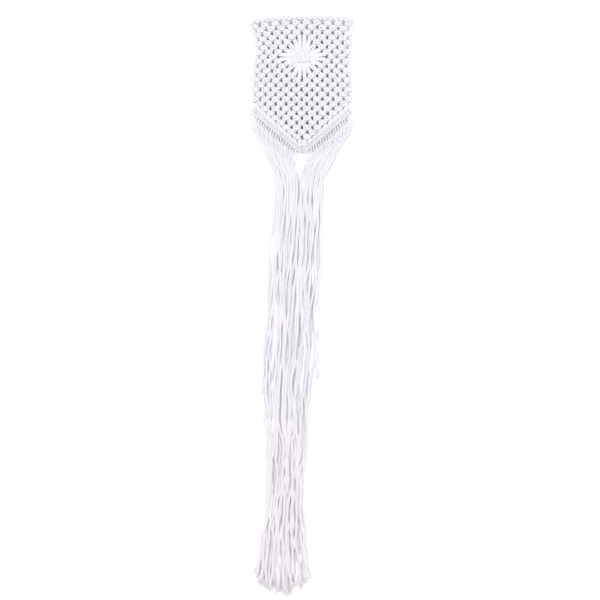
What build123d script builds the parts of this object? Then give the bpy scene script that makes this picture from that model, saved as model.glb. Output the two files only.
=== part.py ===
"""Hanging macrame panel with a long fringe, tied from twenty folded cotton cords on one holding cord.

Millimetres, +Z up. The origin is the middle of the holding cord's axis in the top edge, +X is the viewer's
right, and the front of the panel faces -Y.
"""

from build123d import *
import os
from math import cos, hypot, pi, radians, sin, tan

os.makedirs("parts", exist_ok=True)

# --- driving dimensions -------------------------------------------------------------------------------------
CORD_DIAMETER = 5.0
HOLDING_RADIUS = 2.0  # the holding cord is pulled tight, so it is a little thinner

KNOT_PITCH = 17.9  # from knot to knot along a row
ROW_PITCH = 8.0  # from one alternating row to the next
FIRST_ROW_Z = -8.2
KNOT_THICKNESS = 9.0
KNOT_HALF_WIDTH = 6.8
KNOT_HALF_HEIGHT = 5.9
KNOT_CLEARANCE = 0.05
FULL_ROWS = 17
LAST_ROW = 25
MOTIF_ROW = 8  # the row that the open diamond is centred on
MOTIF_REACH = 4  # rows above and below it that the diamond opens

COLLAR_CLEARANCE = 0.3
LARK_HEAD_RADIUS = 4.6
LARK_HEAD_PITCH = 8.5
LARK_HEAD_WIDTH = 8.2

EDGE_OUTER = (86.5, -157.5)  # the lower edge of the panel, from its side to its tip
EDGE_TIP = (4.0, -228.0)
HITCHES = 20
HITCH_RADIUS = 2.8
LEADER_RADIUS = 1.6
HITCH_GAP = 0.2
LOWER_HITCH_OFFSET = 2.8  # from the lower edge up to each row of hitches
UPPER_HITCH_OFFSET = 8.45

CENTRE_KNOT_HALF = (15.5, 9.2)
CENTRE_KNOT_THICKNESS = 13.0
CENTRE_KNOT_ROUNDING = 4.5
SPOKE_THICKNESS = 6.0
SPOKE_REACH = 29.3
SPOKES_PER_SIDE = 10

EXIT_GAP = 1.4  # between a hitch and the strand that leaves it, so that the fringe can swing
EXIT_LAYER = 2.7
LAYERS = (-8.1, 2.7, -2.7, 8.1)

edge_length = hypot(EDGE_OUTER[0] - EDGE_TIP[0], EDGE_OUTER[1] - EDGE_TIP[1])
edge_x = (EDGE_TIP[0] - EDGE_OUTER[0]) / edge_length
edge_z = (EDGE_TIP[1] - EDGE_OUTER[1]) / edge_length


def write(builder, name):
    """Label a finished piece and write it to its own STEP file."""
    builder.part.label = name
    export_step(builder.part, f"parts/{name}.step")


# --- holding cord and lark's heads --------------------------------------------------------------------------
TAIL_X = 90.0
TAIL_END_Z = -34.0
TAIL_BEND = 4.7

with BuildPart() as holding_cord:
    with BuildLine() as holding_path:
        FilletPolyline(
            (-TAIL_X, 0, TAIL_END_Z), (-TAIL_X, 0, 0), (TAIL_X, 0, 0), (TAIL_X, 0, TAIL_END_Z), radius=TAIL_BEND
        )
    with BuildSketch(Plane(holding_path.line @ 0, z_dir=holding_path.line % 0)):
        Circle(HOLDING_RADIUS)
    sweep()
write(holding_cord, "holding_cord")

with BuildPart() as lark_heads:
    for place in range(HITCHES):
        start = (place - HITCHES / 2 + 0.5) * LARK_HEAD_PITCH - LARK_HEAD_WIDTH / 2
        with BuildSketch(Plane.YZ.offset(start)):
            Circle(LARK_HEAD_RADIUS)
            Circle(HOLDING_RADIUS + COLLAR_CLEARANCE, mode=Mode.SUBTRACT)
        extrude(amount=LARK_HEAD_WIDTH)
    outer_rims = lark_heads.edges().filter_by(GeomType.CIRCLE).filter_by(lambda e: e.radius > HOLDING_RADIUS + 1)
    fillet(outer_rims, radius=1.4)
write(lark_heads, "lark_heads")


# --- square knots -------------------------------------------------------------------------------------------
slope_length = hypot(KNOT_PITCH / 2, ROW_PITCH)
slope_x = KNOT_PITCH / 2 / slope_length
slope_z = ROW_PITCH / slope_length
knot_reach = slope_length / 2 - KNOT_CLEARANCE
side_z = (knot_reach - slope_x * KNOT_HALF_WIDTH) / slope_z
top_x = (knot_reach - slope_z * KNOT_HALF_HEIGHT) / slope_x
TOP_ROW_HALF_HEIGHT = 3.3  # the first row tucks up against the lark's heads


def row_z(row):
    return FIRST_ROW_Z - ROW_PITCH * (row - 1)


def row_places(row):
    """The knots' places along a row: ten and nine in turn, then one fewer a row towards the tip."""
    count = 10 - (row + 1) % 2 if row <= FULL_ROWS else FULL_ROWS + 10 - row
    places = [(i - (count - 1) / 2) * KNOT_PITCH for i in range(count)]
    opened = MOTIF_REACH + 1 - abs(row - MOTIF_ROW)
    return [x for x in places if abs(x) > (opened - 0.5) * KNOT_PITCH / 2]


def knot_outline(half_top):
    top = min(half_top, KNOT_HALF_HEIGHT)
    shoulder = min((knot_reach - slope_z * top) / slope_x, KNOT_HALF_WIDTH)
    return [
        (shoulder, top),
        (KNOT_HALF_WIDTH, side_z),
        (KNOT_HALF_WIDTH, -side_z),
        (top_x, -KNOT_HALF_HEIGHT),
        (-top_x, -KNOT_HALF_HEIGHT),
        (-KNOT_HALF_WIDTH, -side_z),
        (-KNOT_HALF_WIDTH, side_z),
        (-shoulder, top),
    ]


def square_knots(places, half_top=KNOT_HALF_HEIGHT):
    """A group of square knots, each a crowned block of its own; they meet along their sloping shoulders."""
    with BuildPart() as knots:
        for x, z in places:
            with BuildSketch(Plane.XZ.offset(-KNOT_THICKNESS / 2)):
                with Locations((x, z)):
                    Polygon(*knot_outline(half_top), align=None)
            extrude(amount=KNOT_THICKNESS)
        chamfer(knots.edges().filter_by(Axis.Y, reverse=True), length=0.7)
    return knots


MOTIF_TOP_ROW = MOTIF_ROW - MOTIF_REACH
MOTIF_BOTTOM_ROW = MOTIF_ROW + MOTIF_REACH
beside_motif = [(x, row_z(r)) for r in range(MOTIF_TOP_ROW, MOTIF_BOTTOM_ROW + 1) for x in row_places(r)]
knot_groups = {
    "square_knots_top_row": [(x, row_z(1)) for x in row_places(1)],
    "square_knots_upper": [(x, row_z(r)) for r in range(2, MOTIF_TOP_ROW) for x in row_places(r)],
    "square_knots_left": [(x, z) for x, z in beside_motif if x < 0],
    "square_knots_right": [(x, z) for x, z in beside_motif if x > 0],
    "square_knots_lower": [(x, row_z(r)) for r in range(MOTIF_BOTTOM_ROW + 1, LAST_ROW + 1) for x in row_places(r)],
}
for name, places in knot_groups.items():
    half_top = TOP_ROW_HALF_HEIGHT if name == "square_knots_top_row" else KNOT_HALF_HEIGHT
    write(square_knots(places, half_top), name)

# Short floats of cord that pass from knot to knot down both sides, where every other row stops short.
FLOAT_X = 82.3
FLOAT_RADIUS = 2.2
FLOAT_LENGTH = 2 * (ROW_PITCH - KNOT_HALF_HEIGHT) - 0.2
with BuildPart() as edge_floats:
    for row in range(2, FULL_ROWS, 2):
        with BuildSketch(Plane.XY.offset(row_z(row) - FLOAT_LENGTH / 2)):
            with Locations((-FLOAT_X, 0), (FLOAT_X, 0)):
                Circle(FLOAT_RADIUS)
        extrude(amount=FLOAT_LENGTH)
write(edge_floats, "edge_floats")


# --- the open diamond: forty strands gathered into one big knot ---------------------------------------------
motif_z = row_z(MOTIF_ROW)
FAN_GAP = 0.3
SLOT_FROM, SLOT_WIDEST, SLOT_TO = 0.66, 0.85, 0.95  # shares of the way out along each slot
SLOT_HALF_WIDTH = 0.8

with BuildPart() as motif_centre_knot:
    with BuildSketch(Plane.XZ.offset(-CENTRE_KNOT_THICKNESS / 2)):
        with Locations((0, motif_z)):
            Ellipse(*CENTRE_KNOT_HALF)
    extrude(amount=CENTRE_KNOT_THICKNESS)
    rims = motif_centre_knot.edges().group_by(Axis.Y)
    fillet(rims[0] + rims[-1], radius=CENTRE_KNOT_ROUNDING)
write(motif_centre_knot, "motif_centre_knot")


def spoke_fan(side_x, side_z):
    """One quarter of the diamond: ten strands that leave the net side by side and converge on the knot."""
    tip_x = side_x * SPOKE_REACH / slope_z
    tip_z = side_z * SPOKE_REACH / slope_x
    fan_plane = Plane(origin=(0, SPOKE_THICKNESS / 2, motif_z), x_dir=(1, 0, 0), z_dir=(0, -1, 0))
    with BuildPart() as fan:
        with BuildSketch(fan_plane):
            Polygon(
                (side_x * FAN_GAP, side_z * FAN_GAP),
                (tip_x - side_x * FAN_GAP, side_z * FAN_GAP),
                (side_x * FAN_GAP, tip_z - side_z * FAN_GAP),
                align=None,
            )
            Ellipse(CENTRE_KNOT_HALF[0] + FAN_GAP, CENTRE_KNOT_HALF[1] + FAN_GAP, mode=Mode.SUBTRACT)
            for slot in range(1, SPOKES_PER_SIDE):
                out_x = tip_x * slot / SPOKES_PER_SIDE
                out_z = tip_z * (1 - slot / SPOKES_PER_SIDE)
                reach = hypot(out_x, out_z)
                wide_x, wide_z = -SLOT_HALF_WIDTH * out_z / reach, SLOT_HALF_WIDTH * out_x / reach
                Polygon(
                    (SLOT_FROM * out_x, SLOT_FROM * out_z),
                    (SLOT_WIDEST * out_x + wide_x, SLOT_WIDEST * out_z + wide_z),
                    (SLOT_TO * out_x, SLOT_TO * out_z),
                    (SLOT_WIDEST * out_x - wide_x, SLOT_WIDEST * out_z - wide_z),
                    align=None,
                    mode=Mode.SUBTRACT,
                )
        extrude(amount=SPOKE_THICKNESS)
    return fan


for name, side_x, side_z in (
    ("motif_strands_upper_left", -1, 1),
    ("motif_strands_upper_right", 1, 1),
    ("motif_strands_lower_left", -1, -1),
    ("motif_strands_lower_right", 1, -1),
):
    write(spoke_fan(side_x, side_z), name)


# --- hitch rows along the lower edge ------------------------------------------------------------------------
def edge_plane(side, offset, along):
    """A plane across the leader cord of one hitch row, at a distance along the edge from the side."""
    x = EDGE_OUTER[0] + edge_x * along + edge_z * offset
    z = EDGE_OUTER[1] + edge_z * along - edge_x * offset
    return Plane(origin=(side * x, 0, z), z_dir=(side * edge_x, 0, edge_z))


def hitch_row(side, offset, count):
    """One row of double half hitches, each a collar round the leader cord."""
    pitch = edge_length / HITCHES
    with BuildPart() as row:
        for place in range(count):
            with BuildSketch(edge_plane(side, offset, place * pitch + HITCH_GAP / 2)):
                Circle(HITCH_RADIUS)
                Circle(LEADER_RADIUS + 0.1, mode=Mode.SUBTRACT)
            extrude(amount=pitch - HITCH_GAP)
        rims = row.edges().filter_by(GeomType.CIRCLE).filter_by(lambda e: e.radius > LEADER_RADIUS + 0.5)
        fillet(rims, radius=0.9)
    return row


def leader_cords(side):
    """The two outer cords of one side that lie inside its two hitch rows."""
    pitch = edge_length / HITCHES
    with BuildPart() as leaders:
        for offset, count in ((LOWER_HITCH_OFFSET, HITCHES), (UPPER_HITCH_OFFSET, HITCHES - 1)):
            with BuildSketch(edge_plane(side, offset, 0)):
                Circle(LEADER_RADIUS)
            extrude(amount=pitch * count - 1.0)
    return leaders


for name, side in (("left", -1), ("right", 1)):
    write(hitch_row(side, UPPER_HITCH_OFFSET, HITCHES - 1), f"hitch_row_{name}_upper")
    write(hitch_row(side, LOWER_HITCH_OFFSET, HITCHES), f"hitch_row_{name}_lower")
    write(leader_cords(side), f"leader_cords_{name}")

TIP_KNOT_Z = -210.0
with BuildPart() as tip_knot:
    with BuildSketch(Plane.XZ.offset(-KNOT_THICKNESS / 2)):
        with Locations((0, TIP_KNOT_Z)):
            Ellipse(2.6, 3.6)
    extrude(amount=KNOT_THICKNESS)
    chamfer(tip_knot.edges().group_by(Axis.Y)[0] + tip_knot.edges().group_by(Axis.Y)[-1], length=0.8)
write(tip_knot, "tip_knot")


# --- the fringe ---------------------------------------------------------------------------------------------
# Each strand leaves its hitch square to the edge, turns down and in, and then hangs. The left and right halves
# meet at the join, below the open teardrop. Each row of HANG holds a height, the x of the leftmost and of the
# rightmost strand there, and how far each of the four layers sways.
STRANDS = 2 * HITCHES
EXIT_LEAN = 24.0  # degrees from straight down, outwards
EXIT_LEAD = (8.5, 8.0)  # of the outermost and of the innermost strand
EXIT_DROP = (15.0, 9.0)
EXIT_TURN = (-1.2, 1.0)
JOIN_Z = (-278.0, -291.0)  # of the outermost and of the innermost strand
JOIN_X = {-1: (-44.0, -7.0), 1: (35.0, -1.5)}
DROP = (0.25, 0.58, 1.0)  # depths of the points between the exit and the join
TURN_IN = {-1: (0.30, 0.68, 1.0), 1: (0.26, 0.61, 1.0)}
BULGE = {-1: (3.2, 5.6, 0.0), 1: (-1.0, 1.0, 0.0)}  # round the teardrop, on the innermost strand
SPREAD = (0.5, 1.0, 1.0, 1.0)  # from the two layers of the exits to the four layers of the fringe
HANG = (
    (-319, -45.0, 34.5, (0.0, 0.5, -0.5, 0.5)),
    (-357, -48.5, 33.5, (-1.0, 1.5, 1.0, -1.0)),
    (-402, -53.0, 32.5, (-2.5, 1.0, 2.5, -0.5)),
    (-452, -57.5, 28.0, (1.0, -2.0, 2.0, 1.5)),
    (-508, -61.0, 26.0, (3.0, -1.5, -2.0, 2.5)),
    (-570, -63.0, 26.5, (-1.5, 2.0, -3.0, 0.5)),
    (-626, -64.5, 17.5, (-3.0, 3.0, 0.5, -2.5)),
    (-680, -61.0, 12.5, (0.5, 1.0, 3.0, -3.0)),
    (-733, -60.0, 7.0, (3.5, -2.0, 0.5, -1.0)),
    (-784, -59.0, 5.5, (0.5, -3.0, -1.5, 3.5)),
    (-829, -61.5, 5.5, (-3.0, 0.5, 0.0, 2.0)),
    (-876, -70.5, 7.0, (-1.5, 2.0, 1.0, -2.0)),
)
BOTTOM = (-79.5, 15.0)
WAVER = 0.7
HEIGHT_WAVER = 4.0
TAIL_SHARE = 0.53
FULL_ENDS = (
    (-938, -938, -941, -943, -946, -951, -954, -950, -957, -960, -957, -959, -963, -957, -952, -961, -966, -963, -958)
    + (-967, -970, -964, -971, -968, -962, -966, -960, -955, -961, -957, -952, -955, -949, -953, -946, -950, -944)
    + (-948, -944, -942)
)
SHORT_ENDS = {0: (-66.0, -630), 38: (25.5, -606), 39: (28.0, -598)}


def between(a, b, share):
    return a + (b - a) * share


def strand_route(strand):
    """The points of one strand from its hitch to its cut end. Strands count from the left."""
    side = -1 if strand < HITCHES else 1
    inward = strand if side < 0 else STRANDS - 1 - strand
    depth = inward / (HITCHES - 1)
    along = (inward + 0.5) * edge_length / HITCHES
    exit_x = EDGE_OUTER[0] + edge_x * along
    exit_z = EDGE_OUTER[1] + edge_z * along
    exit_y = -EXIT_LAYER if strand % 2 == 0 else EXIT_LAYER
    layer_y = LAYERS[strand % 4]
    lean_x, lean_z = sin(radians(EXIT_LEAN)), -cos(radians(EXIT_LEAN))
    reaches = (EXIT_GAP, between(*EXIT_LEAD, depth))
    points = [(side * (exit_x + reach * lean_x), exit_y, exit_z + reach * lean_z) for reach in reaches]
    turn_x = points[-1][0] + side * between(*EXIT_TURN, depth)
    turn_z = points[-1][2] - between(*EXIT_DROP, depth)
    points.append((turn_x, between(exit_y, layer_y, SPREAD[0]), turn_z))
    join_x = between(*JOIN_X[side], depth)
    join_z = between(*JOIN_Z, depth)
    for drop, turn, bulge, spread in zip(DROP, TURN_IN[side], BULGE[side], SPREAD[1:]):
        x = between(turn_x, join_x, turn) + side * bulge * depth**3
        points.append((x, between(exit_y, layer_y, spread), between(turn_z, join_z, drop)))
    share = strand / (STRANDS - 1)
    full_end = (between(*BOTTOM, share) + 2 * WAVER * sin(1.9 * strand), FULL_ENDS[strand])
    end_x, end_z = SHORT_ENDS.get(strand, full_end)
    for level, (z, left, right, sway) in enumerate(HANG):
        if z > end_z + 50:
            x = between(left, right, share) + sway[strand % 4] + WAVER * sin(2.7 * strand + 1.8 * level)
            points.append((x, layer_y, z + HEIGHT_WAVER * sin(1.3 * strand + 2.3 * level)))
    last_x, _, last_z = points[-1]
    tail_x = between(last_x, end_x, TAIL_SHARE) + WAVER * sin(2.7 * strand + 1)
    points.append((tail_x, layer_y, between(last_z, end_z, TAIL_SHARE)))
    points.append((end_x, layer_y, end_z))
    return points


def bend_radii(points):
    """The arc at each point, as large as its two runs allow."""
    corners = [Vector(*point) for point in points]
    radii = []
    for before, corner, after in zip(corners, corners[1:], corners[2:]):
        turn = (corner - before).get_angle(after - corner)
        shorter = min((corner - before).length, (after - corner).length)
        radii.append(0.45 * shorter / tan(radians(turn) / 2))
    return radii


for strand in range(STRANDS):
    name = f"strand_{strand + 1:02d}"
    route = strand_route(strand)
    radii = bend_radii(route)
    with BuildPart() as cord:
        with BuildLine() as path:
            FilletPolyline(*route, radius=radii)
        with BuildSketch(Plane(path.line @ 0, z_dir=path.line % 0)):
            Circle(CORD_DIAMETER / 2)
        sweep()
    length = path.wires()[0].length
    filled = cord.part.volume / (pi * (CORD_DIAMETER / 2) ** 2 * length)
    print(f"{name}: {length:.0f} mm long, least radius {min(radii):.0f}, volume {filled:.4f} of section times length")
    write(cord, name)
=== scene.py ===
import math
import random

import bpy
import numpy as np
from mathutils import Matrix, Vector


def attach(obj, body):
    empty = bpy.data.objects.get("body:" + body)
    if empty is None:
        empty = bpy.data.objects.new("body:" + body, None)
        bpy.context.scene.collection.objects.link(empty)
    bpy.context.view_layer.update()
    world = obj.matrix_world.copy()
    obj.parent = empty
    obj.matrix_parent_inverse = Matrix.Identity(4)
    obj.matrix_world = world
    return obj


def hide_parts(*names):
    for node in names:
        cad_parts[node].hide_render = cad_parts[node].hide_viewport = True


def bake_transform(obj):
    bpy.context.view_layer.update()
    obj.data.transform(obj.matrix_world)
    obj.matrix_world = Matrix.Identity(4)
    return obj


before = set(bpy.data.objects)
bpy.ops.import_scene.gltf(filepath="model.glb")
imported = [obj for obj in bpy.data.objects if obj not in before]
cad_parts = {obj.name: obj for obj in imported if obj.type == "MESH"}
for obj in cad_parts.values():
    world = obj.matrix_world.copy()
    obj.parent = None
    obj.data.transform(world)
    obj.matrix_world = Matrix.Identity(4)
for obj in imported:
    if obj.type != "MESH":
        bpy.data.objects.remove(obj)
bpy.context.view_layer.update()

MM = 0.001
random.seed(7)

# --- the panel's lattice, in millimetres, as the CAD model has it -------------------------------------------
KNOTS_ACROSS = 10  # in the odd full rows, with one fewer in the even ones
HALF_PITCH = 8.95  # half the distance between two knots of a row
ROW_PITCH = 8.0
FIRST_ROW_Z = -8.2
FULL_ROWS = 17  # below them, every row is one knot narrower
LAST_ROW = 25
MOTIF_ROW = 8  # the row of the open diamond's middle
MOTIF_REACH = 4
STRANDS = 40
HALF = STRANDS // 2
EDGE_OUTER = (86.5, -157.5)  # the right end of the pointed lower edge, as x and z
EDGE_TIP = (4.0, -228.0)
HITCH_OFFSETS = (8.45, 2.8)  # how far above the edge its two rows of hitches lie

# the length of half the pointed edge, and its direction from its outer end to the tip
edge_length = math.hypot(EDGE_OUTER[0] - EDGE_TIP[0], EDGE_OUTER[1] - EDGE_TIP[1])
edge_x = (EDGE_TIP[0] - EDGE_OUTER[0]) / edge_length
edge_z = (EDGE_TIP[1] - EDGE_OUTER[1]) / edge_length
hitch_pitch = edge_length / HALF

HOLDING_RADIUS = 2.0
TIP_KNOT_Z = -210.0
PANEL_STEP = 0.9  # from ring to ring of a panel cord's tube
KNOT_DRIFT = 0.35  # how far a knot lies off its place in the lattice
POINT_DRIFT = 0.25  # how far a strand's points lie off their places in a knot
MOTIF_DRIFT = 0.2
LARK_HEAD_DRIFT = 0.12
SIDE_NODES = ("left", "right")
PANEL_NODES = (
    ["lark_heads", "edge_floats", "motif_centre_knot", "square_knots_top_row", "square_knots_upper"]
    + ["square_knots_left", "square_knots_right", "square_knots_lower"]
    + [f"motif_strands_{end}_{side}" for end in ("upper", "lower") for side in SIDE_NODES]
    + [f"hitch_row_{side}_{row}" for side in SIDE_NODES for row in ("upper", "lower")]
)


def between(a, b, share):
    """The number that lies a share of the way from a to b."""
    return a + (b - a) * share


# --- tubes --------------------------------------------------------------------------------------------------
PLIES = 3
PLY_DEPTH = 0.09  # how far the plies rise and fall about a tube's mean radius, as a share of the cord's
PLY_PITCH = 16.0  # the length of one full twist
PLY_SINK = 0.3  # how far the tube's mean radius lies inside the cord's, as a share of the plies' rise
SIDE_START = (0.3, 1.0, 0.2)  # no cord starts out in this direction
CURVE_RESOLUTION = 6
CORD_SIDES, PANEL_SIDES, FIBRE_SIDES = 12, 10, 5
END_BULGE = 0.3  # how far a tube's closed end stands out, as a share of its radius


def spline_line(points):
    """The smooth line of a route: a NURBS spline with the route's points as its control points. The fourth
    number of a point is the cord's radius there, and so is the fourth column of the line."""
    curve = bpy.data.curves.new("route", "CURVE")
    curve.dimensions = "3D"
    curve.resolution_u = CURVE_RESOLUTION
    spline = curve.splines.new("NURBS")
    spline.points.add(len(points) - 1)
    for control, point in zip(spline.points, points):
        control.co = (point[0] * MM, point[1] * MM, point[2] * MM, 1)
    spline.order_u = 3
    spline.use_endpoint_u = True
    holder = bpy.data.objects.new("route", curve)
    bpy.context.scene.collection.objects.link(holder)
    bpy.context.view_layer.update()
    mesh = bpy.data.meshes.new_from_object(holder)
    line = np.empty(len(mesh.vertices) * 3)
    mesh.vertices.foreach_get("co", line)
    line = line.reshape(-1, 3) / MM
    bpy.data.objects.remove(holder)
    bpy.data.curves.remove(curve)
    bpy.data.meshes.remove(mesh)
    reached = np.arange(len(points)) - 0.5
    reached[0], reached[-1] = 0, len(points) - 2
    at = np.linspace(0, len(points) - 2, len(line))
    return np.column_stack([line, np.interp(at, reached, [point[3] for point in points])])


def spaced(line, step):
    """The same line with its points an even step apart, and how far along it each of them is."""
    along = np.concatenate([[0], np.cumsum(np.linalg.norm(np.diff(line[:, :3], axis=0), axis=1))])
    at = np.linspace(0, along[-1], max(3, int(along[-1] / step) + 1))
    return np.stack([np.interp(at, along, line[:, k]) for k in range(4)], axis=1), at


class CordMesh:
    """Collects twisted cords and fibres as one mesh."""

    def __init__(self):
        self.points = []
        self.faces = []
        self.uvs = []
        self.count = 0

    def add(self, line, step, sides, lobes=PLY_DEPTH, phase=0.0):
        """A tube along the line. Its plies twist round it, and its UV map says where they are."""
        line, along = spaced(line, step)
        centres, radii = line[:, :3], line[:, 3]
        ahead = np.gradient(centres, axis=0)
        ahead /= np.linalg.norm(ahead, axis=1)[:, None]
        normal = np.cross(ahead[0], SIDE_START)
        normals = np.empty_like(ahead)
        for k, direction in enumerate(ahead):
            normal = normal - direction * (normal @ direction)
            normal = normal / np.linalg.norm(normal)
            normals[k] = normal
        sideways = np.cross(ahead, normals)
        angle = np.arange(sides) * 2 * math.pi / sides
        turned = along / PLY_PITCH + phase
        ply = np.cos(PLIES * (angle[None, :] - 2 * math.pi * turned[:, None]))
        reach = radii[:, None] * (1 + lobes * (ply - PLY_SINK))
        ring = centres[:, None, :] + (reach * np.cos(angle))[:, :, None] * normals[:, None, :]
        ring += (reach * np.sin(angle))[:, :, None] * sideways[:, None, :]
        rings = len(centres)
        grid = self.count + np.arange(rings * sides).reshape(rings, sides)
        beside = np.roll(grid, -1, axis=1)
        self.points.append(ring.reshape(-1, 3))
        self.faces += np.stack([grid[:-1], beside[:-1], beside[1:], grid[1:]], axis=2).reshape(-1, 4).tolist()
        uv = np.empty((rings - 1, sides, 4, 2))
        around = np.arange(sides + 1) / sides
        uv[:, :, 0, 0] = uv[:, :, 3, 0] = around[:-1]
        uv[:, :, 1, 0] = uv[:, :, 2, 0] = around[1:]
        uv[:, :, 0, 1] = uv[:, :, 1, 1] = turned[:-1, None]
        uv[:, :, 2, 1] = uv[:, :, 3, 1] = turned[1:, None]
        self.uvs.append(uv.reshape(-1, 2))
        self.count += rings * sides
        self.close(grid[0][::-1], centres[0] - END_BULGE * radii[0] * ahead[0], turned[0])
        self.close(grid[-1], centres[-1] + END_BULGE * radii[-1] * ahead[-1], turned[-1])

    def close(self, rim, point, turned):
        """A low cone over an end of a tube."""
        self.points.append(point[None])
        self.faces += [[int(a), int(b), self.count] for a, b in zip(rim, np.roll(rim, -1))]
        self.uvs.append(np.tile([0.5, turned], (3 * len(rim), 1)))
        self.count += 1

    def build(self, name):
        """Makes the collected tubes into one smooth-shaded object."""
        mesh = bpy.data.meshes.new(name)
        mesh.from_pydata((np.vstack(self.points) * MM).tolist(), [], self.faces)
        layer = mesh.uv_layers.new(name="UVMap")
        layer.data.foreach_set("uv", np.vstack(self.uvs).astype(np.float32).ravel())
        mesh.polygons.foreach_set("use_smooth", [True] * len(mesh.polygons))
        mesh.update()
        piece = bpy.data.objects.new(name, mesh)
        bpy.context.scene.collection.objects.link(piece)
        return piece


# --- cotton -------------------------------------------------------------------------------------------------
def maths(tree, operation, first, second):
    """A maths node. Each input is a socket or a number."""
    node = tree.nodes.new("ShaderNodeMath")
    node.operation = operation
    for socket, value in zip(node.inputs, (first, second)):
        if isinstance(value, (int, float)):
            socket.default_value = value
        else:
            tree.links.new(value, socket)
    return node.outputs["Value"]


FIBRES_ACROSS, FIBRES_ALONG = 26.0, 7.0
PALE_BLUE, PALE_PINK = (0.965, 0.97, 1.0), (1.0, 0.955, 0.98)
PINK_FROM_Z, PINK_TO_Z = -0.55, -0.80


def cotton(name, light, dark, groove, pile):
    """White cotton: plies with grooves between them, fine fibres along the plies, and a soft sheen. Patches
    of it are a very pale blue, and further down a very pale pink."""
    material = bpy.data.materials.new(name)
    material.use_nodes = True
    tree = material.node_tree
    nodes, links = tree.nodes, tree.links
    shader = nodes["Principled BSDF"]
    shader.inputs["Roughness"].default_value = 0.9
    shader.inputs["Specular IOR Level"].default_value = 0.15
    shader.inputs["Sheen Weight"].default_value = 0.2
    shader.inputs["Sheen Roughness"].default_value = 0.6
    uv = nodes.new("ShaderNodeUVMap")
    uv.uv_map = "UVMap"
    apart = nodes.new("ShaderNodeSeparateXYZ")
    links.new(uv.outputs["UV"], apart.inputs["Vector"])
    across = maths(tree, "SUBTRACT", apart.outputs["X"], apart.outputs["Y"])
    ply_angle = maths(tree, "MULTIPLY", across, PLIES * 2 * math.pi)
    ply = maths(tree, "MULTIPLY_ADD", maths(tree, "COSINE", ply_angle, 0.0), 0.5)
    ply.node.inputs[2].default_value = 0.5
    ply = maths(tree, "POWER", ply, 0.6)
    together = nodes.new("ShaderNodeCombineXYZ")
    links.new(maths(tree, "MULTIPLY", across, FIBRES_ACROSS), together.inputs["X"])
    links.new(maths(tree, "MULTIPLY", apart.outputs["Y"], FIBRES_ALONG), together.inputs["Y"])
    fibres = nodes.new("ShaderNodeTexNoise")
    fibres.inputs["Scale"].default_value = 1.0
    fibres.inputs["Detail"].default_value = 4.0
    fibres.inputs["Roughness"].default_value = 0.65
    links.new(together.outputs["Vector"], fibres.inputs["Vector"])
    fibre_colour = nodes.new("ShaderNodeValToRGB")
    fibre_colour.color_ramp.elements[0].position = 0.3
    fibre_colour.color_ramp.elements[0].color = (*dark, 1)
    fibre_colour.color_ramp.elements[1].position = 0.65
    fibre_colour.color_ramp.elements[1].color = (*light, 1)
    links.new(fibres.outputs["Fac"], fibre_colour.inputs["Fac"])
    place = nodes.new("ShaderNodeTexCoord")
    patches = nodes.new("ShaderNodeTexNoise")
    patches.inputs["Scale"].default_value = 16.0
    patches.inputs["Detail"].default_value = 2.0
    links.new(place.outputs["Object"], patches.inputs["Vector"])
    height_apart = nodes.new("ShaderNodeSeparateXYZ")
    links.new(place.outputs["Object"], height_apart.inputs["Vector"])
    lower = nodes.new("ShaderNodeMapRange")
    lower.inputs["From Min"].default_value = PINK_FROM_Z
    lower.inputs["From Max"].default_value = PINK_TO_Z
    lower.inputs["To Max"].default_value = 0.5
    links.new(height_apart.outputs["Z"], lower.inputs["Value"])
    tint = nodes.new("ShaderNodeValToRGB")
    tint.color_ramp.elements[0].position = 0.35
    tint.color_ramp.elements[0].color = (*PALE_BLUE, 1)
    tint.color_ramp.elements[1].position = 1.0
    tint.color_ramp.elements[1].color = (*PALE_PINK, 1)
    links.new(maths(tree, "ADD", patches.outputs["Fac"], lower.outputs["Result"]), tint.inputs["Fac"])
    tinted = nodes.new("ShaderNodeMix")
    tinted.data_type = "RGBA"
    tinted.blend_type = "MULTIPLY"
    tinted.inputs["Factor"].default_value = 1.0
    links.new(fibre_colour.outputs["Color"], tinted.inputs[6])
    links.new(tint.outputs["Color"], tinted.inputs[7])
    links.new(tinted.outputs[2], shader.inputs["Base Color"])
    height = maths(tree, "MULTIPLY", ply, groove)
    height = maths(tree, "ADD", height, maths(tree, "MULTIPLY", fibres.outputs["Fac"], pile))
    bump = nodes.new("ShaderNodeBump")
    bump.inputs["Strength"].default_value = 0.8
    bump.inputs["Distance"].default_value = 0.0006
    links.new(height, bump.inputs["Height"])
    links.new(bump.outputs["Normal"], shader.inputs["Normal"])
    return material


COTTON = cotton("cotton_cord", light=(0.925, 0.925, 0.94), dark=(0.87, 0.87, 0.89), groove=1.0, pile=0.4)
FRAYED = cotton("cotton_fibres", light=(0.95, 0.94, 0.95), dark=(0.90, 0.89, 0.91), groove=0.0, pile=0.3)


def dress(piece, material=COTTON):
    """Gives a piece its cotton."""
    piece.data.materials.append(material)
    return piece


# --- how the soft panel differs from its straight lattice ---------------------------------------------------
# Heights and the panel's half width there as a share of the lattice's, on the left and on the right.
WAIST = ((10, 1.0, 0.985), (-8, 1.0, 0.985), (-30, 0.925, 0.975), (-52, 0.895, 0.965), (-80, 0.935, 0.94),
         (-102, 0.965, 0.965), (-122, 0.99, 0.975), (-150, 1.0, 1.0), (-400, 1.0, 1.0))
BOW_LEFT, BOW_MIDDLE, BOW_RIGHT = -6.0, 2.6, -1.5  # how much higher the top edge lies than the lattice's
BOW_HALF_WIDTH = 88.0
BOW_TOP_Z, BOW_REACH = -6.0, 70.0  # the bow fades out over this height
SIDEWAYS_SWAY = 0.4


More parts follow.
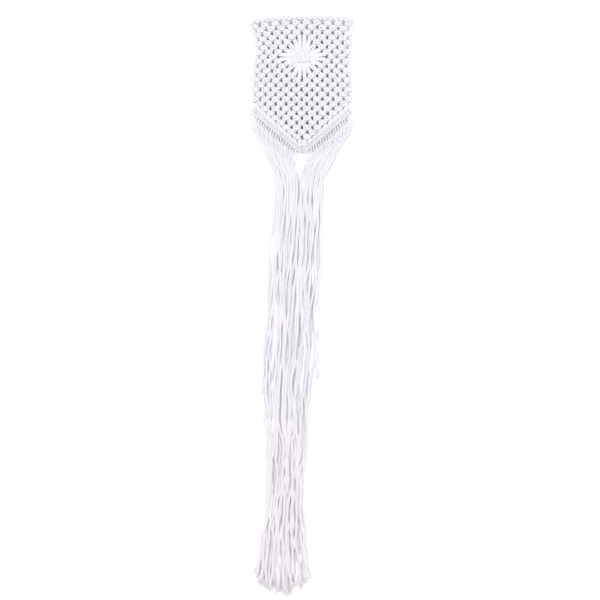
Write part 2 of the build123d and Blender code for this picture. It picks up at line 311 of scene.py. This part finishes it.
def relax(points):
    """Draws the panel in at its waist and bows its top edge, as the tied piece hangs."""
    heights = [-row[0] for row in WAIST]
    relaxed = []
    for x, y, z, radius in points:
        drawn_in = np.interp(-z, heights, [row[1 if x < 0 else 2] for row in WAIST])
        edge = min(1.0, abs(x) / BOW_HALF_WIDTH)
        bow = between(BOW_MIDDLE, BOW_LEFT if x < 0 else BOW_RIGHT, edge**2)
        fade = min(1.0, max(0.0, 1 + (z - BOW_TOP_Z) / BOW_REACH))
        sway = SIDEWAYS_SWAY * math.sin(z / 17.0 + x / 30.0)
        relaxed.append((x * drawn_in + sway, y, z + bow * fade, radius))
    return relaxed


# --- square knots: where each of the four strands goes, from the middle of the knot -------------------------
# Each point is x, how far it stands to the front, z, and the cord's radius.
KNOT_ENTRY_OUTER, KNOT_ENTRY_INNER = (5.75, 0.0, 2.6, 2.2), (3.2, 0.0, 5.4, 2.2)
KNOT_FRONT = ((-4.5, 1.6, 2.5, 2.0), (-2.6, 3.1, 2.2, 2.2), (0.0, 3.8, 2.0, 2.4), (2.6, 3.3, 1.7, 2.2),
              (4.5, 1.6, 1.1, 1.9), (5.3, 0.1, 0.0, 1.8), (4.5, 1.6, -1.1, 1.9), (2.6, 3.3, -1.7, 2.2),
              (0.0, 3.8, -2.0, 2.4), (-2.6, 3.1, -2.2, 2.2), (-4.5, 1.6, -2.5, 2.0))
KNOT_BACK = ((4.5, -1.6, 2.4, 2.0), (2.4, -3.2, 2.0, 2.1), (0.0, -3.6, 1.8, 2.1), (-2.6, -3.0, 1.6, 2.0),
             (-4.8, -0.7, 1.6, 1.9), (-5.5, 1.9, 1.4, 1.9), (-5.3, 3.3, 0.0, 2.0), (-5.5, 1.9, -1.4, 1.9),
             (-4.8, -0.7, -1.6, 1.9), (-2.6, -3.0, -1.6, 2.0), (0.0, -3.6, -1.8, 2.1), (2.4, -3.2, -2.0, 2.1),
             (4.5, -1.6, -2.4, 2.0))
KNOT_CORE = ((2.0, 0.2, 4.2, 2.1), (1.5, 0.0, 1.5, 1.8), (1.5, 0.0, -1.5, 1.8), (2.0, 0.2, -4.2, 2.1))


def mirrored(points, x=1, z=1):
    """The points turned over where x or z is -1."""
    return [(x * p[0], p[1], z * p[2], p[3]) for p in points]


def knot_points(role, under_lark_heads=False):
    """The points of one of the strands a, b, c, d, counted from the left, through a square knot."""
    outer, inner = KNOT_ENTRY_OUTER, KNOT_ENTRY_INNER
    if role == 0:
        ends, middle = mirrored([outer], x=-1) + mirrored([outer], x=-1, z=-1), list(KNOT_FRONT)
    elif role == 3:
        ends, middle = [outer] + mirrored([outer], z=-1), list(KNOT_BACK)
    else:
        side = -1 if role == 1 else 1
        ends = mirrored([inner], x=side) + mirrored([inner], x=side, z=-1)
        middle = mirrored(KNOT_CORE, x=side)
    if under_lark_heads:
        middle = middle[1:]
        spread = 1.15 if role in (0, 3) else 0.75
        ends[0] = (spread * ends[0][0], 0.0, 3.4, 1.6)
    return [ends[0]] + middle + [ends[1]]


def row_columns(row):
    """The columns of a row's knots, in half pitches from the middle."""
    count = KNOTS_ACROSS - (row + 1) % 2 if row <= FULL_ROWS else FULL_ROWS + KNOTS_ACROSS - row
    opened = MOTIF_REACH + 1 - abs(row - MOTIF_ROW)
    columns = [2 * i - (count - 1) for i in range(count)]
    return [c for c in columns if abs(c) > opened - 0.5]


def row_z(row):
    """The height of a row's middle."""
    return FIRST_ROW_Z - ROW_PITCH * (row - 1)


KNOTS = {(row, column) for row in range(1, LAST_ROW + 1) for column in row_columns(row)}
MOTIF = {(row, column) for row in range(MOTIF_ROW - MOTIF_REACH, MOTIF_ROW + MOTIF_REACH + 1)
         for column in range(-MOTIF_REACH, MOTIF_REACH + 1)
         if (row + column) % 2 == 0 and abs(column) <= MOTIF_REACH - abs(row - MOTIF_ROW)}


# --- the big knot of the open diamond -----------------------------------------------------------------------
CENTRE_Z = row_z(MOTIF_ROW)
BAR_PITCH = 1.75
TOP_BAR = 8.3  # how far above the middle of the knot its first wrapping strand lies
CROWN, CROWN_FALL = 6.4, 0.03  # how far the knot stands out in its middle, and how fast it rounds off


def centre_knot_points(side, order):
    """One of ten strands of a side through the big knot, order 0 nearest the middle. Five are its core."""
    if order < 5:
        x = side * (0.8 + 1.3 * order)
        out = side * (2.2 + 2.4 * order)
        deep = 1.2 * (-1) ** order
        upper = [(out, 0.0, 15.0 - 0.9 * order, 2.3),
                 (side * (1.4 + 1.8 * order), deep, 9.0 - 0.4 * order, 1.9),
                 (x, deep, 4.0, 1.3)]
    else:
        level = TOP_BAR - BAR_PITCH * (order - 5)
        front = 1 if side < 0 else -1
        crown = front * (CROWN - CROWN_FALL * level**2)
        upper = [(side * (19.0 + 0.8 * (order - 5)), 0.3 * front, 1.35 * level, 2.2),
                 (side * 13.8, 1.8 * front, 1.05 * level, 1.6),
                 (side * 8.0, 0.8 * crown, level, 1.45), (0.0, crown, level, 1.45),
                 (-side * 8.0, 0.8 * crown, 0.96 * level, 1.45),
                 (-side * 13.2, 2.6 if side > 0 else 1.6, 0.8 * level, 1.4),
                 (-side * 15.4, 2.2 if side > 0 else -0.4, 0.4 * level, 1.4)]
    lower = [(x, y, -z, r) for x, y, z, r in reversed(upper)]
    return [(x, y, CENTRE_Z + z, r) for x, y, z, r in upper + lower]


# --- hitches along the lower edge ---------------------------------------------------------------------------
LEADER_RADIUS = 1.5
HITCH_CORD = 1.4
WRAP_ALONG_EDGE, WRAP_DEPTH = 2.0, 2.7
WRAP_STEPS = 8
WRAP_START = 0.3
WRAP_SLANT = 0.75  # how far along the edge a hitch's turns run, as a share of the hitches' pitch


def on_edge(side, along, offset, front=0.0, radius=HITCH_CORD):
    """A point some way along the pointed edge of a side, from its outer end, and some way above it."""
    x = EDGE_OUTER[0] + edge_x * along + edge_z * offset
    z = EDGE_OUTER[1] + edge_z * along - edge_x * offset
    return (side * x, front, z, radius)


def hitch_points(side, inward):
    """A strand's double half hitch over the upper leader and then over the lower one."""
    middle = (inward + 0.5) * hitch_pitch
    steps = int(1.5 * WRAP_STEPS)
    points = []
    for lower, offset in enumerate(HITCH_OFFSETS):
        if inward == HALF - 1 and not lower:
            continue
        direction = -1 if lower else 1
        for step in range(steps):
            angle = 2 * math.pi * step / WRAP_STEPS + WRAP_START
            along = middle + direction * hitch_pitch * WRAP_SLANT * ((step + 0.5) / steps - 0.5)
            up, front = WRAP_ALONG_EDGE * math.cos(angle), WRAP_DEPTH * math.sin(angle)
            points.append(on_edge(side, along, offset + up, front))
    return points


# --- the fringe: the routes of the CAD tubes, in millimetres, with some points moved by a few of them -------
# The layers lie closer together, the opening below the tip closes higher up, and each strand wanders across
# its neighbours.
CORD_DIAMETER = 5.0
STRAND_STEP = 1.0
EXIT_GAP = 1.4  # from the edge to a route's first point
EXIT_LAYER = 1.3  # strands leave this far in front of the middle and behind it, in turn
LAYERS = (-6.3, 1.3, -3.3, 4.3)  # y of the four layers that the strands take in turn
EXIT_LEAN = 24.0  # degrees outwards from straight down
# the next five are pairs, for the outermost strand of a side and for its innermost one
EXIT_LEAD = (8.5, 8.0)
EXIT_DROP = (15.0, 9.0)
EXIT_TURN = (-1.2, 1.0)
JOIN_Z = (-274.0, -262.0)  # where the strands reach the hanging bundle
JOIN_X = {-1: (-44.0, -7.0), 1: (35.0, -1.5)}
# three points on the way there: their share of the drop, of the way in, and how far the inner strands bulge
DROP = (0.25, 0.58, 1.0)
TURN_IN = {-1: (0.30, 0.68, 1.0), 1: (0.26, 0.61, 1.0)}
BULGE = {-1: (5.5, 4.5, 0.0), 1: (-1.5, 0.0, 0.0)}
SPREAD = (0.5, 1.0, 1.0, 1.0)  # how far each point has moved from the exit's layer to the strand's own
# heights down the bundle, its left and right edge there, and how each layer's strands shift sideways
HANG = (
    (-319, -45.0, 34.5, (0.0, 0.5, -0.5, 0.5)),
    (-357, -48.5, 33.5, (-1.0, 1.5, 1.0, -1.0)),
    (-402, -53.0, 32.5, (-2.5, 1.0, 2.5, -0.5)),
    (-452, -57.5, 28.0, (1.0, -2.0, 2.0, 1.5)),
    (-508, -61.0, 26.0, (3.0, -1.5, -2.0, 2.5)),
    (-570, -63.0, 26.5, (-1.5, 2.0, -3.0, 0.5)),
    (-626, -64.5, 17.5, (-3.0, 3.0, 0.5, -2.5)),
    (-680, -61.0, 12.5, (0.5, 1.0, 3.0, -3.0)),
    (-733, -60.0, 7.0, (3.5, -2.0, 0.5, -1.0)),
    (-784, -59.0, 5.5, (0.5, -3.0, -1.5, 3.5)),
    (-829, -61.5, 5.5, (-3.0, 0.5, 0.0, 2.0)),
    (-876, -70.5, 7.0, (-1.5, 2.0, 1.0, -2.0)),
)
BOTTOM = (-79.5, 15.0)  # the left and right edge of the cut ends
WAVER = 0.7
HEIGHT_WAVER = 4.0
# how far a strand may wander sideways at each height of HANG
WANDER = (1.5, 2.5, 3.5, 4.5, 5.5, 6.5, 7.0, 7.0, 6.5, 5.5, 4.5, 3.5)
EDGE_WANDER, EDGE_STRANDS = 0.4, 3  # the share of it for the outermost strands, and how many they are
DEPTH_WANDER = 1.3
CLUSTERS = ((0, 15, -2.0), (16, 29, 0.5), (30, 39, 1.0))  # first and last strand, and how far the ends shift
CLUSTER_PULL = 0.90
TAIL_SHARE = 0.53
# the height of each strand's cut end, from left to right
FULL_ENDS = (
    -938, -938, -941, -943, -946, -951, -954, -950, -957, -960, -957, -959, -963, -957,
    -952, -961, -966, -963, -958, -967, -970, -964, -971, -968, -962, -966, -960, -955,
    -961, -957, -952, -955, -949, -953, -946, -950, -944, -948, -944, -942,
)
# the strands that were cut short: x and z of their ends
SHORT_ENDS = {0: (-66.0, -630), 38: (25.5, -606), 39: (28.0, -598)}
END_SCATTER = (-5.0, 6.0)
LAST_FREE_STRETCH = 50  # the heights of HANG that are nearer a strand's end than this are left out


def clustered_end(strand):
    """Where a strand's cut end lies. The ends gather into three loose clusters."""
    for first, last, shift in CLUSTERS:
        if first <= strand <= last:
            middle = between(*BOTTOM, (first + last) / 2 / (STRANDS - 1))
            own = between(*BOTTOM, strand / (STRANDS - 1)) + 2 * WAVER * math.sin(1.9 * strand)
            return middle + CLUSTER_PULL * (own - middle) + shift


def strand_route(strand):
    """The points of one strand from its hitch to its cut end. Strands count from the left."""
    side = -1 if strand < HALF else 1
    inward = strand if side < 0 else STRANDS - 1 - strand
    depth = inward / (HALF - 1)
    along = (inward + 0.5) * hitch_pitch
    exit_x = EDGE_OUTER[0] + edge_x * along
    exit_z = EDGE_OUTER[1] + edge_z * along
    exit_y = -EXIT_LAYER if strand % 2 == 0 else EXIT_LAYER
    layer_y = LAYERS[strand % 4]
    lean_x, lean_z = math.sin(math.radians(EXIT_LEAN)), -math.cos(math.radians(EXIT_LEAN))
    reaches = (EXIT_GAP, between(*EXIT_LEAD, depth))
    points = [(side * (exit_x + reach * lean_x), exit_y, exit_z + reach * lean_z) for reach in reaches]
    turn_x = points[-1][0] + side * between(*EXIT_TURN, depth)
    turn_z = points[-1][2] - between(*EXIT_DROP, depth)
    points.append((turn_x, between(exit_y, layer_y, SPREAD[0]), turn_z))
    join_x = between(*JOIN_X[side], depth)
    join_z = between(*JOIN_Z, depth)
    for drop, turn, bulge, spread in zip(DROP, TURN_IN[side], BULGE[side], SPREAD[1:]):
        x = between(turn_x, join_x, turn) + side * bulge * depth**3
        points.append((x, between(exit_y, layer_y, spread), between(turn_z, join_z, drop)))
    share = strand / (STRANDS - 1)
    full_end = (clustered_end(strand), FULL_ENDS[strand] + random.uniform(*END_SCATTER))
    end_x, end_z = SHORT_ENDS.get(strand, full_end)
    for level, (z, left, right, sway) in enumerate(HANG):
        if z > end_z + LAST_FREE_STRETCH:
            x = between(left, right, share) + sway[strand % 4] + WAVER * math.sin(2.7 * strand + 1.8 * level)
            own_wander = 1.0 if EDGE_STRANDS <= strand < STRANDS - EDGE_STRANDS else EDGE_WANDER
            x += own_wander * random.uniform(-WANDER[level], WANDER[level])
            y = layer_y + random.uniform(-DEPTH_WANDER, DEPTH_WANDER)
            points.append((x, y, z + HEIGHT_WAVER * math.sin(1.3 * strand + 2.3 * level)))
    last_x, _, last_z = points[-1]
    tail_x = between(last_x, end_x, TAIL_SHARE) + WAVER * math.sin(2.7 * strand + 1)
    points.append((tail_x, layer_y, between(last_z, end_z, TAIL_SHARE)))
    points.append((end_x, layer_y, end_z))
    return points


EXIT_THICKNESS = (0.52, 0.62, 0.80, 0.95)  # a strand is drawn thin where it leaves its hitch
CRIMP, CRIMP_AT = (0.3, 0.6, 1.1), (0, 300, 750)  # the waves' height, at these lengths along the strand
CRIMP_START = 60.0  # the waves grow over the first stretch
SHORT_WAVES, LONG_WAVES = (34, 48), (52, 80)  # their lengths
FIBRES = 26
FIBRE_RADIUS = 0.42
FIBRE_STEP = 1.6
TUFT_START = 5.0  # how far above the cut end the fibres begin, inside the cord
TUFT_FLARE = (0.8, 1.25)
FIBRE_ROOT = 1.9  # how far from the cord's middle the outermost fibres begin
FIBRE_REACH = (9.0, 17.0)
FIBRE_CURL = 3.0
FLARE_AT_ROOT, FLARE_OUT = 0.2, 4.2


def tuft(name, line):
    """The frayed end of a strand: its plies open into fibres that flare and curl."""
    tip = line[-1, :3]
    down = tip - line[-4, :3]
    down /= np.linalg.norm(down)
    across = np.cross(down, (0, 1, 0))
    across /= np.linalg.norm(across)
    front = np.cross(across, down)
    mesh = CordMesh()
    flare = random.uniform(*TUFT_FLARE)
    for fibre in range(FIBRES):
        turn = 2 * math.pi * (fibre + random.uniform(-0.4, 0.4)) / FIBRES
        spread = random.uniform(0.2, 1.0)
        out = math.cos(turn) * across + math.sin(turn) * front
        sideways = np.cross(down, out)
        start = tip - down * TUFT_START + out * (FIBRE_ROOT * spread)
        reach = random.uniform(*FIBRE_REACH)
        curl = random.uniform(-FIBRE_CURL, FIBRE_CURL)
        points = []
        for share in (0.0, 0.3, 0.55, 0.8, 1.0):
            flared = FLARE_AT_ROOT + FLARE_OUT * flare * spread * share**1.3
            point = start + down * reach * share + out * flared + sideways * curl * share**2
            points.append((*point, FIBRE_RADIUS * (1.25 - 0.6 * share)))
        mesh.add(spline_line(points), step=FIBRE_STEP, sides=FIBRE_SIDES, lobes=0.0)
    return dress(mesh.build(name), FRAYED)


def crimp(line):
    """Gives a strand the small waves of cord that was knotted and undone, higher towards its cut end."""
    along = np.concatenate([[0], np.cumsum(np.linalg.norm(np.diff(line[:, :3], axis=0), axis=1))])
    swell = np.clip(along / CRIMP_START, 0, 1) * np.interp(along, CRIMP_AT, CRIMP)
    line = line.copy()
    for axis, share in ((0, 1.0), (1, 0.6)):
        for wave, height in ((random.uniform(*SHORT_WAVES), 0.6), (random.uniform(*LONG_WAVES), 1.0)):
            phase = random.uniform(0, 2 * math.pi)
            line[:, axis] += share * height * swell * np.sin(2 * math.pi * along / wave + phase)
    return line


def make_fringe(routes):
    """Forty hanging cords, each with its frayed end."""
    for strand, route in enumerate(routes):
        name = f"strand_{strand + 1:02d}"
        radii = [CORD_DIAMETER / 2 * share for share in EXIT_THICKNESS] + [CORD_DIAMETER / 2] * len(route)
        line = crimp(spline_line([(*point, radius) for point, radius in zip(route, radii)]))
        mesh = CordMesh()
        mesh.add(line, step=STRAND_STEP, sides=CORD_SIDES, phase=random.random())
        piece = dress(mesh.build(name + "_cord"))
        frayed = tuft(name + "_frayed_end", line)
        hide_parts(name)
        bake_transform(piece)
        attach(frayed, "fringe")


# --- the panel's twenty cords -------------------------------------------------------------------------------
LARK_SQUEEZE = 0.9
LARK_HEAD = ((1.9, 1.3, -2.8, 1.9), (2.1, 3.3, -0.2, 2.0), (2.1, 3.3, 2.2, 2.0), (2.1, 1.0, 4.2, 2.0),
             (2.1, -2.2, 3.4, 1.9), (2.2, -3.8, 0.6, 1.8), (2.6, -3.1, -1.8, 1.6), (3.0, -0.4, -2.9, 1.5),
             (2.8, 2.5, -2.7, 1.7), (1.3, 4.2, -2.4, 1.9), (0.0, 4.5, -2.3, 1.9))


def jitter(points, amount):
    """The points moved at random by up to the amount, each way on each axis."""
    return [(x + random.uniform(-amount, amount), y + random.uniform(-amount, amount),
             z + random.uniform(-amount, amount), r) for x, y, z, r in points]


def to_front(points, x0=0.0, z0=0.0):
    """Points with their reach to the front turned into the frame, where the front is -Y."""
    return [(x + x0, -y, z + z0, r) for x, y, z, r in points]


# how far outwards the strands of an outermost pair lie from the middle of their knots
FLOAT_INNER, FLOAT_OUTER = 3.5, 6.4
FLOAT_RADIUS = 1.8
# where a panel cord ends: each point's share of the way to the route's second point, and its radius
EXIT_TAPER = ((0.0, 1.6), (0.2, 1.45), (0.35, 1.3))


def edge_float(side, inner, row):
    """A strand of an outermost pair that passes the row in which it isn't knotted."""
    x = side * ((KNOTS_ACROSS - 1) * HALF_PITCH + (FLOAT_INNER if inner else FLOAT_OUTER))
    return [(x, 0.0, row_z(row), FLOAT_RADIUS)]


def follow_strands(routes):
    """Every strand's points from the holding cord down to its exit, followed from knot to knot."""
    strands = [[] for _ in range(STRANDS)]
    arriving = {(1, 2 * k + 1 - KNOTS_ACROSS): [4 * k, 4 * k + 1, 4 * k + 2, 4 * k + 3]
                for k in range(KNOTS_ACROSS)}
    into_motif = {-1: [], 1: []}
    at_edge = {-1: [], 1: []}

    def send(outer, inner, row, column, side):
        """A pair leaves its knot towards one side. The strand that is nearer that side is the outer one."""
        below = (row + 1, column + side)
        home = -1 if column < 0 else 1
        if below in KNOTS:
            arrive(arriving, below, outer, inner, -side)
        elif below in MOTIF:
            into_motif[-side].append((row, outer, inner))
        elif row < FULL_ROWS - 1:
            strands[outer] += to_front(edge_float(side, False, row + 1))
            strands[inner] += to_front(edge_float(side, True, row + 1))
            arrive(arriving, (row + 2, column), outer, inner, side)
        elif home == side:
            at_edge[home].append((row, 0, outer, inner))
        else:
            at_edge[home].append((row, 1, inner, outer))

    for row in range(1, LAST_ROW + 1):
        if row == MOTIF_ROW + 1:
            pass_motif(strands, into_motif, arriving)
        for column in row_columns(row):
            slots = arriving[(row, column)]
            x0 = column * HALF_PITCH + random.uniform(-KNOT_DRIFT, KNOT_DRIFT)
            z0 = row_z(row) + random.uniform(-KNOT_DRIFT, KNOT_DRIFT)
            for role, strand in enumerate(slots):
                points = knot_points(role, row == 1)
                points[1:-1] = jitter(points[1:-1], POINT_DRIFT)
                strands[strand] += to_front(points, x0, z0)
            send(slots[0], slots[1], row, column, -1)
            send(slots[3], slots[2], row, column, 1)
    for side in (-1, 1):
        pairs = sorted(at_edge[side])
        for inward, strand in enumerate([strand for pair in pairs for strand in pair[2:]]):
            strands[strand] += to_front(hitch_points(side, inward))
            number = inward if side < 0 else STRANDS - 1 - inward
            start, second = routes[number][:2]
            for share, radius in EXIT_TAPER:
                strands[strand].append((*[between(a, b, share) for a, b in zip(start, second)], radius))
    return strands


def arrive(arriving, knot, outer, inner, side):
    """A pair reaches a knot on one of its sides, with the outer strand on the outside."""
    slots = arriving.setdefault(knot, [None] * 4)
    if side < 0:
        slots[0], slots[1] = outer, inner
    else:
        slots[3], slots[2] = outer, inner


def pass_motif(strands, into_motif, arriving):
    """Takes the ten strands of each side through the big knot, and on to the knots below it."""
    for side in (-1, 1):
        order = 0
        for row, outer, inner in sorted(into_motif[side]):
            for strand in (outer, inner):
                strands[strand] += to_front(jitter(centre_knot_points(side, order), MOTIF_DRIFT))
                order += 1
            arrive(arriving, (2 * MOTIF_ROW - row, side * (row - 2)), outer, inner, -side)


def lark_head_points(place):
    """One folded cord round the holding cord, from its left strand over the fold to its right strand."""
    x = (place - HALF / 2 + 0.5) * HALF_PITCH
    half = [(LARK_SQUEEZE * p[0], p[1], p[2], p[3]) for p in LARK_HEAD]
    points = mirrored(half, x=-1) + half[-2::-1]
    return to_front(jitter(points, LARK_HEAD_DRIFT), x)


def make_panel(routes):
    """Twenty folded cords, each one mesh from a hitch up through its knots, over its fold and down again."""
    strands = follow_strands(routes)
    for place in range(HALF):
        left, right = strands[2 * place], strands[2 * place + 1]
        points = list(reversed(left)) + lark_head_points(place) + right
        mesh = CordMesh()
        mesh.add(spline_line(relax(points)), step=PANEL_STEP, sides=PANEL_SIDES, phase=random.random())
        piece = dress(mesh.build(f"panel_cord_{place + 1:02d}"))
        if place == 0:
            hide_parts(*PANEL_NODES)
        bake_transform(piece)


def make_leaders():
    """The cords that the hitches are tied over, from the panel's sides to the tip, where they cross."""
    for side, name in ((-1, "left"), (1, "right")):
        for offset, count, row in zip(HITCH_OFFSETS, (HALF - 0.6, HALF + 0.1), ("upper", "lower")):
            stops = (-0.5, 4, 8, 12, 16, count)
            points = [on_edge(side, stop * hitch_pitch, offset, 0.0, LEADER_RADIUS) for stop in stops]
            mesh = CordMesh()
            mesh.add(spline_line(to_front(points)), step=PANEL_STEP, sides=PANEL_SIDES, phase=random.random())
            piece = dress(mesh.build(f"leader_{name}_{row}"))
            if row == "upper":
                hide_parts(f"leader_cords_{name}")
            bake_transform(piece)


def make_tip_knot():
    """The small binding that closes the tip between the two rows of hitches."""
    mesh = CordMesh()
    turns = [(-2.6, 0.0, 3.4), (0.4, 3.4, 3.0), (2.9, 0.4, 1.7), (0.0, -3.2, 1.0), (-2.9, 0.2, 0.4),
             (0.2, 3.6, -0.2), (2.9, 0.2, -1.2), (0.0, -3.2, -1.8), (-2.6, 0.0, -2.4), (0.0, 3.0, -3.2),
             (2.2, 0.6, -3.8)]
    points = to_front([(*turn, 1.5) for turn in turns], 0.0, TIP_KNOT_Z)
    mesh.add(spline_line(points), step=PANEL_STEP, sides=PANEL_SIDES)
    piece = dress(mesh.build("tip_binding"))
    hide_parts("tip_knot")
    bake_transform(piece)


def make_holding_cord():
    """The cord along the top that everything hangs from, with its two tails turned down at the sides."""
    tail = ((-84.5, 0.0, -35.0), (-85.5, 0.2, -26.0), (-87.0, 0.0, -16.0), (-89.0, 0.0, -6.0),
            (-89.3, 0.0, -1.0), (-86.5, 0.0, 0.3), (-80.0, 0.0, 0.0))
    middle = [(x, 0.0, 0.0) for x in (-60.0, -30.0, 0.0, 30.0, 60.0)]
    points = list(tail) + middle + [(-x, y, z) for x, y, z in reversed(tail)]
    points = [(x, y, z, HOLDING_RADIUS) for x, y, z in points]
    mesh = CordMesh()
    mesh.add(spline_line(relax(points)), step=PANEL_STEP, sides=CORD_SIDES, phase=0.2)
    piece = dress(mesh.build("holding_cord_cotton"))
    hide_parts("holding_cord")
    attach(piece, "hanger")


# --- the object ---------------------------------------------------------------------------------------------
routes = [strand_route(strand) for strand in range(STRANDS)]
make_panel(routes)
make_leaders()
make_tip_knot()
make_holding_cord()
make_fringe(routes)


# --- the room, in metres: a white wall close behind, a pale floor below, soft daylight ----------------------
WALL_Y, FLOOR_Z, ROOM_SIZE = 0.0135, -1.25, 4.0
# how strongly the wall glows: painted light that keeps the wall white beside the lit cotton
WALL_GLOW = 0.5
# the part of the wall that doesn't glow, a painted shade behind the panel: as wide as the panel, with a point
# below and an opening in the point
SHADE_HALF_WIDTH = 0.080
SHADE_TIP_Z = -0.243
SHADE_EDGE_SLOPE = 0.85
SHADE_OPENING = (0.014, -0.225)  # its half width, and its upper end
SHADE_FADE = 0.003
WORLD_LIGHT = 0.27
KEY_POWER, FILL_POWER, BACK_POWER = 29.5, 22.0, 36.0
LENS = 85.0
CAMERA_PLACE = (-0.0034, -2.408, -0.477)


def paint(name, colour):
    """A dull paint, which glows white where its emission strength is more than zero."""
    material = bpy.data.materials.new(name)
    material.use_nodes = True
    shader = material.node_tree.nodes["Principled BSDF"]
    shader.inputs["Base Color"].default_value = (*colour, 1)
    shader.inputs["Roughness"].default_value = 1.0
    shader.inputs["Specular IOR Level"].default_value = 0.0
    shader.inputs["Emission Color"].default_value = (1, 1, 1, 1)
    return material


def glow_beside_panel(material):
    """The wall glows a little, painted light that keeps it white beside the lit cotton, but not behind the
    knotted
    panel: that unlit patch is painted shade, which keeps the panel's holes dark. It does glow in the opening
    between the strands below the panel's tip."""
    tree = material.node_tree
    place = tree.nodes.new("ShaderNodeNewGeometry")
    apart = tree.nodes.new("ShaderNodeSeparateXYZ")
    tree.links.new(place.outputs["Position"], apart.inputs["Vector"])
    sideways = maths(tree, "ABSOLUTE", apart.outputs["X"], 0.0)
    beyond_side = maths(tree, "SUBTRACT", sideways, SHADE_HALF_WIDTH)
    edge = maths(tree, "MULTIPLY", sideways, SHADE_EDGE_SLOPE)
    beyond_tip = maths(tree, "SUBTRACT", maths(tree, "ADD", edge, SHADE_TIP_Z), apart.outputs["Z"])
    beyond_top = apart.outputs["Z"]
    beyond = maths(tree, "MAXIMUM", maths(tree, "MAXIMUM", beyond_side, beyond_tip), beyond_top)
    beside_middle = maths(tree, "SUBTRACT", SHADE_OPENING[0], sideways)
    below_tip = maths(tree, "SUBTRACT", SHADE_OPENING[1], apart.outputs["Z"])
    beyond = maths(tree, "MAXIMUM", beyond, maths(tree, "MINIMUM", beside_middle, below_tip))
    fade = tree.nodes.new("ShaderNodeMapRange")
    fade.inputs["From Min"].default_value = -SHADE_FADE
    fade.inputs["From Max"].default_value = SHADE_FADE
    fade.inputs["To Max"].default_value = WALL_GLOW
    tree.links.new(beyond, fade.inputs["Value"])
    shader = tree.nodes["Principled BSDF"]
    tree.links.new(fade.outputs["Result"], shader.inputs["Emission Strength"])


def clear_from_behind(material):
    """The surface shows only from its front, so that the object can be seen and lit from behind it."""
    nodes, links = material.node_tree.nodes, material.node_tree.links
    facing = nodes.new("ShaderNodeNewGeometry")
    light_path = nodes.new("ShaderNodeLightPath")
    see_through = maths(material.node_tree, "MAXIMUM", facing.outputs["Backfacing"],
                        light_path.outputs["Is Shadow Ray"])
    clear = nodes.new("ShaderNodeBsdfTransparent")
    choice = nodes.new("ShaderNodeMixShader")
    links.new(see_through, choice.inputs["Fac"])
    links.new(nodes["Principled BSDF"].outputs["BSDF"], choice.inputs[1])
    links.new(clear.outputs["BSDF"], choice.inputs[2])
    links.new(choice.outputs["Shader"], nodes["Material Output"].inputs["Surface"])


bpy.ops.mesh.primitive_plane_add(size=ROOM_SIZE, location=(0, WALL_Y, -0.5), rotation=(math.pi / 2, 0, 0))
wall = bpy.context.object
wall.name = "wall"
wall_paint = paint("wall_paint", (0.95, 0.95, 0.95))
# painted light on the wall beside the panel, and painted shade on the wall behind it
glow_beside_panel(wall_paint)
clear_from_behind(wall_paint)
wall.data.materials.append(wall_paint)
bpy.ops.mesh.primitive_plane_add(size=ROOM_SIZE, location=(0, 0, FLOOR_Z))
floor = bpy.context.object
floor.name = "floor"
floor.data.materials.append(paint("floor_paint", (0.9, 0.9, 0.9)))

world = bpy.data.worlds.new("daylight")
bpy.context.scene.world = world
world.use_nodes = True
world.node_tree.nodes["Background"].inputs["Color"].default_value = (0.97, 0.98, 1.0, 1)
world.node_tree.nodes["Background"].inputs["Strength"].default_value = WORLD_LIGHT


def area_light(name, location, target, size, power):
    """A soft square light at a place, turned towards a target."""
    light = bpy.data.lights.new(name, "AREA")
    light.size = size
    light.energy = power
    holder = bpy.data.objects.new(name, light)
    bpy.context.scene.collection.objects.link(holder)
    holder.location = location
    direction = Vector(target) - Vector(location)
    holder.rotation_euler = direction.to_track_quat("-Z", "Y").to_euler()
    return light


area_light("key", (-0.4, -2.4, 0.75), (0, 0, -0.45), 0.5, KEY_POWER)
area_light("fill", (0.4, -2.4, 0.4), (0, 0, -0.5), 0.5, FILL_POWER)
back_light = area_light("back", (0.5, 2.4, 0.5), (0, 0, -0.4), 0.8, BACK_POWER)
back_light.cycles.max_bounces = 0  # the lit back doesn't shine on the wall, so the panel's holes stay dark

camera_data = bpy.data.cameras.new("camera")
camera_data.lens = LENS
camera_data.sensor_width = 36.0
camera = bpy.data.objects.new("camera", camera_data)
bpy.context.scene.collection.objects.link(camera)
camera.location = CAMERA_PLACE
camera.rotation_euler = (math.pi / 2, 0, 0)
bpy.context.scene.camera = camera
bpy.context.scene.view_settings.view_transform = "Standard"
